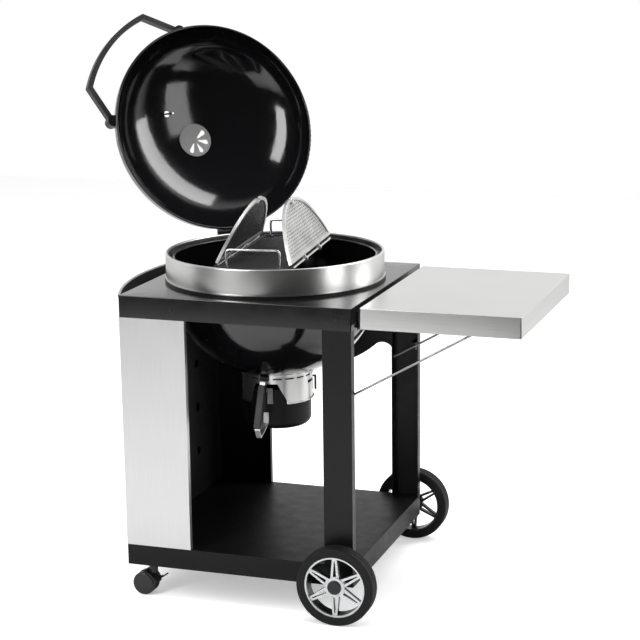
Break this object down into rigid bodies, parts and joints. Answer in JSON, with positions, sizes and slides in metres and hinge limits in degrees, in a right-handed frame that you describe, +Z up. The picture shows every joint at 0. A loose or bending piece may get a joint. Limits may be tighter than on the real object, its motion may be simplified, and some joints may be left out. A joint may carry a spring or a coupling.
{
  "type": "kettle charcoal grill",
  "caption": "Kettle charcoal grill with a hinged domed lid and folding grate, set in a wheeled cart with a folding side shelf and an ash catcher.",
  "frame": {"origin": "on the floor, under the middle of the whole outline with the lid open", "axes": "+Z up, +X to the right towards the folding side shelf, -Y the front, where the ash pot's handle is"},
  "size_m": [1.3954, 0.9623, 1.5549],
  "materials": {
    "cart_black": "satin powder coat",
    "enamel_black": "gloss enamel",
    "stainless": "brushed",
    "bright_wire": "bright plated",
    "dark_casting": "matt",
    "damper_aluminium": "satin",
    "grip_black": "soft satin",
    "dial_case": "satin",
    "dial_face": "gloss",
    "tyre_black": "matt",
    "rim_grey": "satin silver",
    "cap_black": "gloss",
    "caster_black": "satin"
  },
  "bodies": {
    "base": {"tray_top": "cart_black", "bottom_shelf": "cart_black", "front_right_leg": "cart_black", "back_right_leg": "cart_black", "front_left_panel": "stainless", "back_left_panel": "cart_black", "left_inner_wall": "cart_black", "bowed_side_panel": "stainless", "side_panel_roll": "stainless", "back_plate": "cart_black", "tray_screws": "bright_wire", "kettle_collar": "cart_black", "trim_ring": "stainless", "bowl": "enamel_black", "grate_lugs": "dark_casting", "charcoal_grate": "dark_casting", "lid_hinge_base": "cart_black", "ash_band": "stainless", "ash_catch": "cart_black", "axle": "bright_wire", "axle_collars": "bright_wire", "caster_front_mount": "cart_black", "caster_back_mount": "cart_black", "shelf_hinge_bases": "cart_black", "stay_brackets": "cart_black"},
    "lid": {"lid": "enamel_black", "lid_vent_plate": "stainless", "thermometer_body": "dial_case", "thermometer_dial": "dial_face", "thermometer_nut": "bright_wire", "lid_handle": "grip_black", "lid_handle_feet": "bright_wire", "lid_hinge_leaf": "stainless"},
    "lid_damper": {"lid_vent_damper": "damper_aluminium"},
    "cooking_grate": {"grate_center": "dark_casting", "grate_wire_loops": "bright_wire", "grate_rods": "bright_wire"},
    "left_flap": {"left_flap": "dark_casting"},
    "right_flap": {"right_flap": "dark_casting"},
    "ash_pot": {"ash_pot": "cart_black", "ash_handle_strap": "bright_wire", "ash_handle_grip": "grip_black"},
    "ash_sweeper": {"ash_sweeper": "dark_casting"},
    "wheel_front": {"wheel_front_tyre": "tyre_black", "wheel_front_rim": "rim_grey", "wheel_front_cap": "cap_black"},
    "wheel_back": {"wheel_back_tyre": "tyre_black", "wheel_back_rim": "rim_grey", "wheel_back_cap": "cap_black"},
    "side_shelf": {"side_shelf": "stainless", "shelf_hinge_arms": "stainless", "stay_catches": "cart_black"},
    "shelf_stay": {"shelf_stay": "bright_wire"},
    "caster_front_swivel": {"caster_front_hood": "caster_black"},
    "caster_front_wheels": {"caster_front_wheels": "caster_black"},
    "caster_front_brake": {"caster_front_lever": "caster_black"},
    "caster_back_swivel": {"caster_back_hood": "caster_black"},
    "caster_back_wheels": {"caster_back_wheels": "caster_black"},
    "caster_back_brake": {"caster_back_lever": "caster_black"}
  },
  "joints": [
    {"name": "lid_hinge", "type": "hinge", "parent": "base", "child": "lid", "pos_m": [-0.29795, 0.15167, 0.932], "axis": [0.7157, 0.6984, 0], "range_deg": [0, 109]},
    {"name": "lid_damper_turn", "type": "hinge", "parent": "lid", "child": "lid_damper", "pos_m": [-0.48909, 0.34754, 1.16933], "axis": [-0.6604, 0.6767, -0.3256], "range_deg": [0, 25]},
    {"name": "grate_lift", "type": "slide", "parent": "base", "child": "cooking_grate", "axis": [0, 0, 1], "range_m": [0, 0.025]},
    {"name": "left_flap_fold", "type": "hinge", "parent": "cooking_grate", "child": "left_flap", "pos_m": [-0.18436, -0.08433, 0.92], "axis": [0.1097, -0.994, 0], "range_deg": [0, 112]},
    {"name": "right_flap_fold", "type": "hinge", "parent": "cooking_grate", "child": "right_flap", "pos_m": [0.02636, -0.06107, 0.92], "axis": [-0.1097, 0.994, 0], "range_deg": [0, 112]},
    {"name": "pot_drop", "type": "slide", "parent": "base", "child": "ash_pot", "axis": [0, 0, -1], "range_m": [0, 0.08]},
    {"name": "sweeper_turn", "type": "hinge", "parent": "base", "child": "ash_sweeper", "pos_m": [-0.079, -0.0727, 0.57], "axis": [0, 0, -1], "range_deg": [0, 34]},
    {"name": "wheel_front_spin", "type": "hinge", "parent": "base", "child": "wheel_front", "pos_m": [0.22, -0.4577, 0.107], "axis": [0, 1, 0], "continuous": true},
    {"name": "wheel_back_spin", "type": "hinge", "parent": "base", "child": "wheel_back", "pos_m": [0.22, 0.2763, 0.107], "axis": [0, 1, 0], "continuous": true},
    {"name": "caster_front_turn", "type": "hinge", "parent": "base", "child": "caster_front_swivel", "pos_m": [-0.337, -0.3927, 0.075], "axis": [0, 0, 1], "continuous": true},
    {"name": "caster_front_roll", "type": "hinge", "parent": "caster_front_swivel", "child": "caster_front_wheels", "pos_m": [-0.36, -0.3927, 0.0325], "axis": [0, 1, 0], "continuous": true},
    {"name": "caster_front_press", "type": "hinge", "parent": "caster_front_swivel", "child": "caster_front_brake", "pos_m": [-0.3215, -0.3927, 0.0445], "axis": [0, 1, 0], "range_deg": [0, 20]},
    {"name": "caster_back_turn", "type": "hinge", "parent": "base", "child": "caster_back_swivel", "pos_m": [-0.337, 0.2113, 0.075], "axis": [0, 0, 1], "continuous": true},
    {"name": "caster_back_roll", "type": "hinge", "parent": "caster_back_swivel", "child": "caster_back_wheels", "pos_m": [-0.36, 0.2113, 0.0325], "axis": [0, 1, 0], "continuous": true},
    {"name": "caster_back_press", "type": "hinge", "parent": "caster_back_swivel", "child": "caster_back_brake", "pos_m": [-0.3215, 0.2113, 0.0445], "axis": [0, 1, 0], "range_deg": [0, 20]},
    {"name": "shelf_fold", "type": "hinge", "parent": "base", "child": "side_shelf", "pos_m": [0.262, -0.0907, 0.79], "axis": [0, 1, 0], "range_deg": [0, 90]},
    {"name": "stay_swing", "type": "hinge", "parent": "base", "child": "shelf_stay", "pos_m": [0.245, -0.0907, 0.6105], "axis": [0, 1, 0], "range_deg": [0, 120]}
  ],
  "couplings": [
    {"joint": "stay_swing", "follows": "shelf_fold", "ratio": 1.329}
  ]
}
